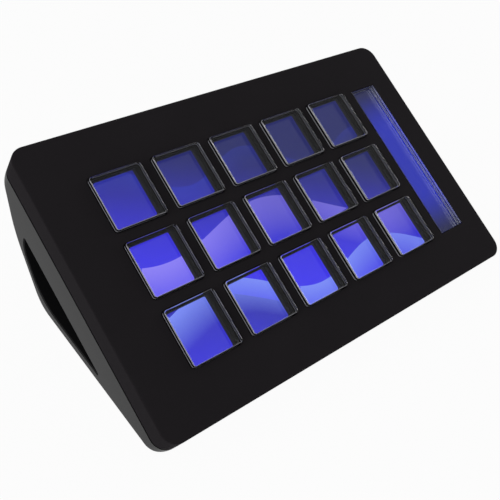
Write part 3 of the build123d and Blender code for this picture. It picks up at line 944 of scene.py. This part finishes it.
@dataclass(frozen=True)
class SideStrip:
    """The side strip's clear block and the bead of glue round its foot. Sizes are millimetres."""

    node: str = "strip_lens"
    flange: float = 1.2
    bead_radius: float = 0.2
    bead_sides: int = 10
    corner_steps: int = 4

    def build(self) -> None:
        """Dresses the block and grows the bead."""
        shape = welded(self.node)
        mesh = bpy.data.meshes.new("strip_block")
        shape.to_mesh(mesh)
        shape.free()
        # The solid's stored normals belong to its unmerged corners.
        stored = mesh.attributes.get("custom_normal")
        if stored:
            mesh.attributes.remove(stored)
        mesh.materials.append(LENS.material())
        block = bpy.data.objects.new("strip_block", mesh)
        bpy.context.scene.collection.objects.link(block)
        finish_mesh(block, Matrix.Identity(4))
        stand_for(block, CASE, self.node)
        self.bead()

    def bead(self) -> None:
        """Grows the bead, whose pale colour is a painted highlight: it shows through the block as a bright
        line along its far sides.
        """
        made = Tree("glue_bead", ("Width", "Length", "Corner", "Radius"))
        *outline, radius = made.sizes
        path = rounded_rectangle(made, *outline, self.corner_steps)
        section = {"Radius": radius, "Resolution": self.bead_sides}
        ring = made.add("CurvePrimitiveCircle", section, mode="RADIUS")[0]
        made.end(made.add("CurveToMesh", {"Curve": path, "Profile Curve": ring})[0])
        low, high = FACE.node(self.node)
        piece = made.grow(
            "strip_glue_bead",
            GLUE_HIGHLIGHT,
            [],
            Width=(high.x - low.x) / MM - 2 * self.flange,
            Length=(high.y - low.y) / MM - 2 * self.flange,
            Corner=2 * self.bead_radius,
            Radius=self.bead_radius,
        )
        finish_mesh(piece, FACE.place(underside(low, high) - Vector((0, 0, self.bead_radius * MM))))
        add_to_case(piece)


@dataclass(frozen=True)
class KeyMat:
    """The silicone mat and the switch foil under it, open to the display. Sizes are millimetres.

    The mat is a thin web with a springy pad under each key.

    Attributes:
        window: Width and depth of the opening under each key.
        window_shift: How far it stands left of its key's middle, clear of the contacts at its right.
        window_gap: How much wider the foil's openings are than the mat's, at each edge.
        slack: Room between a pad and its key, so that neither cuts into the other.
    """

    node: str = "key_mat"
    foil: str = "switch_foil"
    window: tuple[float, float] = (18.3, 19.6)
    window_shift: float = 0.65
    window_corner: float = 0.6
    window_gap: float = 0.2
    pad_width: float = 1.4
    pad_height: float = 1.35
    pad_edge: float = 0.3
    web: float = 0.4
    foil_thickness: float = 0.25
    corner: float = 2.0
    corner_steps: int = 4
    slack: float = 0.02

    def build(self) -> None:
        """Grows the web, the foil, and a pad for each key."""
        base = FACE.node(self.node)[0].z
        middles = [underside(*FACE.node(joint["child"])) for joint in frame["joints"]]
        places = [Vector((middle.x - self.window_shift * MM, middle.y, base)) for middle in middles]
        tree = self.sheet_tree()
        self.sheet(tree, "mat_web", SILICONE, self.node, places, 0.0, self.web)
        self.sheet(tree, "foil_sheet", FOIL, self.foil, places, self.window_gap, self.foil_thickness)
        tree = self.pad_tree()
        width, depth = self.window
        for joint, place in zip(frame["joints"], places):
            piece = tree.grow(
                f"{joint['child']}_pad",
                SILICONE,
                [],
                Width=width + self.pad_width,
                Depth=depth + self.pad_width,
                Corner=self.window_corner + self.pad_width / 2,
                Pad_width=self.pad_width,
                Pad_height=self.pad_height,
                Edge=self.pad_edge,
            )
            lift = Vector((0, 0, (self.web + self.pad_height / 2 - self.slack) * MM))
            finish_mesh(piece, FACE.place(place + lift))
            stand_for(piece, CASE, self.node)
            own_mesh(piece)

    def sheet(
        self,
        tree: Tree,
        name: str,
        finish: Finish,
        node: str,
        places: list[Vector],
        gap: float,
        thickness: float,
    ) -> None:
        """Cuts one sheet that stands for a solid, from that solid's underside upwards.

        Args:
            tree: The tree that cuts it.
            name: The sheet's name.
            finish: Its finish.
            node: The solid.
            places: Middles of the windows, along the face.
            gap: How much wider the windows are at each edge, in millimetres.
            thickness: Its thickness, in millimetres.
        """
        low, high = FACE.node(node)
        middle = underside(low, high)
        width, depth = self.window
        piece = tree.grow(
            name,
            finish,
            [Vector((place.x - middle.x, place.y - middle.y, 0)) for place in places],
            Width=(high.x - low.x) / MM,
            Depth=(high.y - low.y) / MM,
            Corner=self.corner,
            Window_width=width + 2 * gap,
            Window_depth=depth + 2 * gap,
            Window_corner=self.window_corner,
            Thickness=thickness,
        )
        finish_mesh(piece, FACE.place(middle))
        stand_for(piece, CASE, node)

    def sheet_tree(self) -> Tree:
        """Makes the tree that cuts a sheet to size, with a window at each point.

        Returns:
            The tree.
        """
        made = Tree(
            "window_sheet",
            ("Width", "Depth", "Corner", "Window width", "Window depth", "Window corner", "Thickness"),
        )
        *sides, thickness = made.sizes
        outline = rounded_rectangle(made, *sides[:3], self.corner_steps)
        window = rounded_rectangle(made, *sides[3:], self.corner_steps)
        spread = {"Points": made.inputs["Geometry"], "Instance": window}
        windows = made.add("InstanceOnPoints", spread)[0]
        cuts = made.add("RealizeInstances", {"Geometry": windows})[0]
        lines = made.add("JoinGeometry", {"Geometry": [outline, cuts]})[0]
        flat = made.add("FillCurve", {"Curve": lines})[0]
        lifted = {"Mesh": flat, "Offset Scale": thickness, "Individual": False}
        raised = made.add("ExtrudeMesh", lifted)[0]
        both = made.add("JoinGeometry", {"Geometry": [raised, flat]})[0]
        made.end(made.add("MergeByDistance", {"Geometry": both, "Distance": WELD})[0])
        return made

    def pad_tree(self) -> Tree:
        """Makes the tree that sweeps a pad's soft-edged section round a key's window.

        Returns:
            The tree.
        """
        made = Tree("mat_pad", ("Width", "Depth", "Corner", "Pad width", "Pad height", "Edge"))
        route = rounded_rectangle(made, *made.sizes[:3], self.corner_steps)
        section = rounded_rectangle(made, *made.sizes[3:], self.corner_steps)
        upright = made.add("SetCurveNormal", {"Curve": route}, mode="Z_UP")[0]
        made.end(made.add("CurveToMesh", {"Curve": upright, "Profile Curve": section})[0])
        return made


@dataclass(frozen=True)
class DisplayStack(Coated):
    """What lies under the mat and the strip: the strip's seals and the display."""

    solids: Coats = (
        ("lens_tape", TAPE),
        ("strip_foam", FOAM),
        ("lcd_panel", DISPLAY),
        ("backlight", LIGHT_BOX),
    )


@dataclass(frozen=True)
class Electronics(Coated):
    """The tray, the board and its ribbons, and the socket with its contacts. Sizes are millimetres."""

    solids: Coats = (
        ("chassis_tray", TRAY),
        ("main_board", BOARD),
        ("board_chips", CHIP),
        ("ribbon_connectors", NYLON),
        ("display_ribbon", RIBBON),
        ("key_ribbon", RIBBON),
        ("usb_socket", SOCKET),
    )
    contact_count: int = 12
    contact_pitch: float = 0.5
    contact_width: float = 0.26
    contact_length: float = 4.4
    contact_height: float = 0.04
    tongue: float = 0.7
    tongue_setback: float = 1.2

    def build(self) -> None:
        """Coats the solids and grows the socket's contacts."""
        super().build()
        self.contacts()

    def contacts(self) -> None:
        """Grows two rows of contacts on the socket's tongue."""
        made = Tree("contact_row", ("Contact width", "Contact length", "Contact height"))
        size = made.add("CombineXYZ", dict(zip("XYZ", made.sizes)))[0]
        made.end_on_points(made.add("MeshCube", {"Size": size})[0])
        low, high = FACE.node("usb_socket")
        middle = (low + high) / 2
        # The contacts end one pitch short of the tongue's tip.
        along = high.y - (self.tongue_setback + self.contact_length / 2 + self.contact_pitch) * MM
        first = middle.x - (self.contact_count - 1) / 2 * self.contact_pitch * MM
        above = (self.tongue + self.contact_height) / 2 * MM
        places = [
            Vector((first + i * self.contact_pitch * MM, along, middle.z + side * above))
            for side in (-1, 1)
            for i in range(self.contact_count)
        ]
        piece = made.grow(
            "socket_contacts",
            GOLD,
            places,
            Contact_width=self.contact_width,
            Contact_length=self.contact_length,
            Contact_height=self.contact_height,
        )
        finish_mesh(piece, FACE.turn.to_4x4())
        add_to_case(piece)


@dataclass(frozen=True)
class ScrewKind:
    """One kind of pan-head screw, in millimetres.

    Attributes:
        node: The solids that these screws stand for.
        finish: Their finish.
        diameter: Across the thread.
        head: Across the head.
        head_height: Height of the head.
    """

    node: str
    finish: Finish
    diameter: float
    head: float
    head_height: float


@dataclass(frozen=True)
class Fasteners:
    """All screws: round pan heads with a cross drive, grown on the places of their solids.

    Attributes:
        kinds: The kinds of screw.
        sides: Corners of the round forms.
        round_share: Rounding of the head, in head heights.
        rim_share: Height of the head's upright rim, in head heights.
        drive_share: Length of the cross's bars, in head widths.
        slot_share: Width of the cross's bars, in head widths.
        drive_depth_share: Depth of the cross, in head heights.
    """

    kinds: tuple[ScrewKind, ...] = (
        ScrewKind("tray_screws", SCREW, 2.0, 3.8, 1.2),
        ScrewKind("board_screws", SCREW, 2.0, 3.8, 1.2),
        ScrewKind("case_screws", BLACK_SCREW, 2.6, 5.0, 1.8),
    )
    sides: int = 40
    round_share: float = 0.45
    rim_share: float = 0.15
    drive_share: float = 0.56
    slot_share: float = 0.15
    drive_depth_share: float = 0.55

    def tree(self) -> Tree:
        """Makes the tree that sets a screw on each point, its head downwards.

        Returns:
            The tree.
        """
        made = Tree(
            "pan_head_screws",
            ("Diameter", "Length", "Head", "Head height", "Round", "Rim", "Drive", "Slot", "Drive depth"),
        )
        diameter, length, width, height, rounding, rim, drive, slot, depth = made.sizes
        half_head, radius, half_length = (
            made.add("Math", {0: whole, 1: 0.5}, operation="MULTIPLY")[0]
            for whole in (width, diameter, length)
        )
        outline = {"Radius": half_head, "Resolution": self.sides}
        circle = made.add("CurvePrimitiveCircle", outline, mode="RADIUS")[0]
        head = rounded_block(made, circle, half_head, height, rounding, 0.0, rim)
        # The bars of the cross stand half in the head and half above it.
        deep = made.add("Math", {0: depth, 1: 2.0}, operation="MULTIPLY")[0]
        top = made.add("CombineXYZ", {"Z": height})[0]
        for across, along in ((drive, slot), (slot, drive)):
            size = made.add("CombineXYZ", {"X": across, "Y": along, "Z": deep})[0]
            bar = made.add("MeshCube", {"Size": size})[0]
            cut = made.add("Transform", {"Geometry": bar, "Translation": top})[0]
            meshes = {"Mesh 1": head, "Mesh 2": cut}
            head = made.add("MeshBoolean", meshes, operation="DIFFERENCE", solver="EXACT")[0]
        turned = made.add("Transform", {"Geometry": head, "Rotation": (pi, 0.0, 0.0)})[0]
        thread = {"Vertices": self.sides, "Radius": radius, "Depth": length}
        shank = made.add("MeshCylinder", thread)["Mesh"]
        middle = made.add("CombineXYZ", {"Z": half_length})[0]
        raised = made.add("Transform", {"Geometry": shank, "Translation": middle})[0]
        made.end_on_points(made.add("JoinGeometry", {"Geometry": [turned, raised]})[0])
        return made

    def build(self) -> None:
        """Grows each kind of screw where its solids are."""
        tree = self.tree()
        for kind in self.kinds:
            boxes = FACE.islands(kind.node)
            low, high = boxes[0]
            seat = Vector((0, 0, kind.head_height * MM))
            piece = tree.grow(
                f"{kind.node}_crossed",
                kind.finish,
                [underside(*box) + seat for box in boxes],
                Diameter=kind.diameter,
                Length=(high.z - low.z) / MM - kind.head_height,
                Head=kind.head,
                Head_height=kind.head_height,
                Round=kind.head_height * self.round_share,
                Rim=kind.head_height * self.rim_share,
                Drive=kind.head * self.drive_share,
                Slot=kind.head * self.slot_share,
                Drive_depth=kind.head_height * self.drive_depth_share,
            )
            finish_mesh(piece, FACE.turn.to_4x4())
            stand_for(piece, CASE, kind.node)


@dataclass(frozen=True)
class Feet:
    """Round rubber feet with a rounded sole edge. Sizes are millimetres."""

    node: str = "rubber_feet"
    sole_edge: float = 0.4
    recess: float = 0.8
    sides: int = 64

    def build(self) -> None:
        """Grows the feet in their recesses, sole downwards."""
        made = Tree("rubber_feet", ("Radius", "Height", "Edge", "Recess"))
        radius, height, edge, recess = made.sizes
        outline = {"Radius": radius, "Resolution": self.sides}
        circle = made.add("CurvePrimitiveCircle", outline, mode="RADIUS")[0]
        foot = rounded_block(made, circle, radius, height, edge, 0.0, recess)
        turned = {"Geometry": foot, "Rotation": (pi, 0.0, 0.0)}
        made.end_on_points(made.add("Transform", turned)[0])
        boxes = TABLE.islands(self.node)
        low, high = boxes[0]
        piece = made.grow(
            "rubber_feet_moulded",
            RUBBER,
            [Vector((*underside(a, b).xy, b.z)) for a, b in boxes],
            Radius=(high.x - low.x) / 2 / MM,
            Height=(high.z - low.z) / MM,
            Edge=self.sole_edge,
            Recess=self.recess,
        )
        finish_mesh(piece, TABLE.turn.to_4x4())
        stand_for(piece, CASE, self.node)


@dataclass(frozen=True)
class Lamp:
    """A soft box: where it stands, how wide it is and how much light it gives.

    Attributes:
        name: The lamp's name.
        place: Its place in metres.
        width: Its width in metres.
        height: Its height in metres.
        watts: Its light.
    """

    name: str
    place: tuple[float, float, float]
    width: float
    height: float
    watts: float


@dataclass(frozen=True)
class Studio:
    """The pale floor, the soft light and the camera.

    Attributes:
        camera: The camera's place, in metres.
        heading_deg: Where it looks, turned from +Y towards +X.
        dip_deg: How far it looks down.
        roll_deg: How far it is tilted about its own line of sight.
        lens_mm: Focal length on a film 36 mm wide.
        clip: Nearest distance that it sees, in metres.
        ambient: Strength of the light from all round.
        backdrop_deg: Height at which the white backdrop starts to end, seen from the object.
        backdrop_end_deg: Height at which it has ended and the room begins.
        floor_width: Width of the floor, in metres.
        floor_grey: Share of the light that the floor's paper throws back.
        floor_white: Share of plain white that the floor shows to the eye; the rest shows its shadow.
        lamps: The soft boxes.
    """

    camera: tuple[float, float, float] = (-0.1879, -0.1353, 0.2323)
    heading_deg: float = 52.32
    dip_deg: float = 44.54
    roll_deg: float = 17.76
    lens_mm: float = 56.24
    clip: float = 0.01
    ambient: float = 0.17
    backdrop_deg: float = 14.0
    backdrop_end_deg: float = 30.0
    floor_width: float = 6.0
    floor_grey: float = 0.9
    floor_white: float = 0.96
    lamps: tuple[Lamp, ...] = (
        Lamp("upper_soft_box", (0.51, -0.13, 0.73), 0.9, 0.9, 0.27),
        Lamp("right_soft_box", (0.88, 0.09, 0.2), 0.9, 0.36, 2.0),
        Lamp("left_soft_box", (-0.73, -0.05, 0.52), 0.9, 0.9, 2.2),
    )

    def build(self) -> None:
        """Sets the studio up."""
        bpy.context.scene.view_settings.view_transform = "Standard"
        self.shoot()
        self.surround()
        self.floor()
        for lamp in self.lamps:
            self.light(lamp)

    def shoot(self) -> None:
        """Sets the camera where the photograph was taken from."""
        data = bpy.data.cameras.new("camera")
        data.lens = self.lens_mm
        data.clip_start = self.clip
        camera = bpy.data.objects.new("camera", data)
        turn = Euler((radians(90 - self.dip_deg), 0, -radians(self.heading_deg))).to_matrix()
        roll = Matrix.Rotation(radians(self.roll_deg), 3, "Z")
        camera.matrix_world = Matrix.Translation(self.camera) @ (turn @ roll).to_4x4()
        bpy.context.scene.collection.objects.link(camera)
        bpy.context.scene.camera = camera

    def mirrored(self, tree: Graph) -> tuple[Socket, Socket]:
        """Tells the rays that show the white surround from those that light the object.

        Args:
            tree: Nodes of the world or of the floor.

        Returns:
            Two sockets: 1 for what the eye sees straight, and 1 for what gloss and clear pieces show.
        """
        path = tree.add("LightPath")
        kinds = {0: path["Is Glossy Ray"], 1: path["Is Transmission Ray"]}
        return path["Is Camera Ray"], tree.add("Math", kinds, operation="MAXIMUM")[0]

    def surround(self) -> None:
        """Makes the white surround, which ends above a low backdrop for all but the eye."""
        world = bpy.data.worlds.new("white_surround")
        world.use_nodes = True
        world.node_tree.nodes.clear()
        tree = Graph(world.node_tree)
        eye, bent = self.mirrored(tree)
        way = tree.add("TexCoord")["Generated"]
        height = tree.add("SeparateXYZ", {"Vector": way})["Z"]
        start, end = (sin(radians(angle)) for angle in (self.backdrop_deg, self.backdrop_end_deg))
        span = {"Value": height, "From Min": start, "From Max": end, "To Min": 1.0, "To Max": 0.0}
        backdrop = tree.add("MapRange", span)[0]
        shown = tree.add("Math", {0: bent, 1: backdrop}, operation="MULTIPLY")[0]
        share = tree.add("Math", {0: eye, 1: shown}, operation="MAXIMUM")[0]
        room, white = (
            tree.add("Background", {"Color": WHITE, "Strength": strength})[0]
            for strength in (self.ambient, 1.0)
        )
        mixed = tree.add("MixShader", {0: share, 1: room, 2: white})[0]
        tree.add("OutputWorld", {"Surface": mixed})
        bpy.context.scene.world = world

    def floor(self) -> None:
        """Lays the floor under the feet."""
        half = self.floor_width / 2
        corners = [(-half, -half, 0), (half, -half, 0), (half, half, 0), (-half, half, 0)]
        mesh = bpy.data.meshes.new("floor")
        mesh.from_pydata(corners, [], [(0, 1, 2, 3)])
        floor = bpy.data.objects.new("floor", mesh)
        bpy.context.scene.collection.objects.link(floor)
        paper = bpy.data.materials.new("white_paper")
        paper.use_nodes = True
        paper.node_tree.nodes.clear()
        tree = Graph(paper.node_tree)
        grey = (self.floor_grey, self.floor_grey, self.floor_grey, 1.0)
        sheet = tree.add("BsdfDiffuse", {"Color": grey})[0]
        white = tree.add("Emission", {"Color": WHITE, "Strength": 1.0})[0]
        eye, bent = self.mirrored(tree)
        seen = tree.add("Math", {0: eye, 1: bent}, operation="MAXIMUM")[0]
        share = tree.add("Math", {0: seen, 1: self.floor_white}, operation="MULTIPLY")[0]
        mixed = tree.add("MixShader", {0: share, 1: sheet, 2: white})[0]
        tree.add("OutputMaterial", {"Surface": mixed})
        mesh.materials.append(paper)

    def light(self, lamp: Lamp) -> None:
        """Hangs one soft box, facing the object.

        Args:
            lamp: The soft box.
        """
        data = bpy.data.lights.new(lamp.name, "AREA")
        data.shape = "RECTANGLE"
        data.size = lamp.width
        data.size_y = lamp.height
        data.energy = lamp.watts
        made = bpy.data.objects.new(lamp.name, data)
        made.location = lamp.place
        made.rotation_euler = (-Vector(lamp.place)).to_track_quat("-Z", "Y").to_euler()
        bpy.context.scene.collection.objects.link(made)


def main() -> None:
    """Builds the pieces, their finishes and the studio."""
    logging.basicConfig(level=logging.INFO, format="%(message)s")
    mouldings = (Casing(), ClearKeys(), KeyMat(), SideStrip())
    insides = (DisplayStack(), Electronics(), Fasteners(), Feet())
    for assembly in (*mouldings, *insides, Studio()):
        assembly.build()


if __name__ == "__main__":
    main()
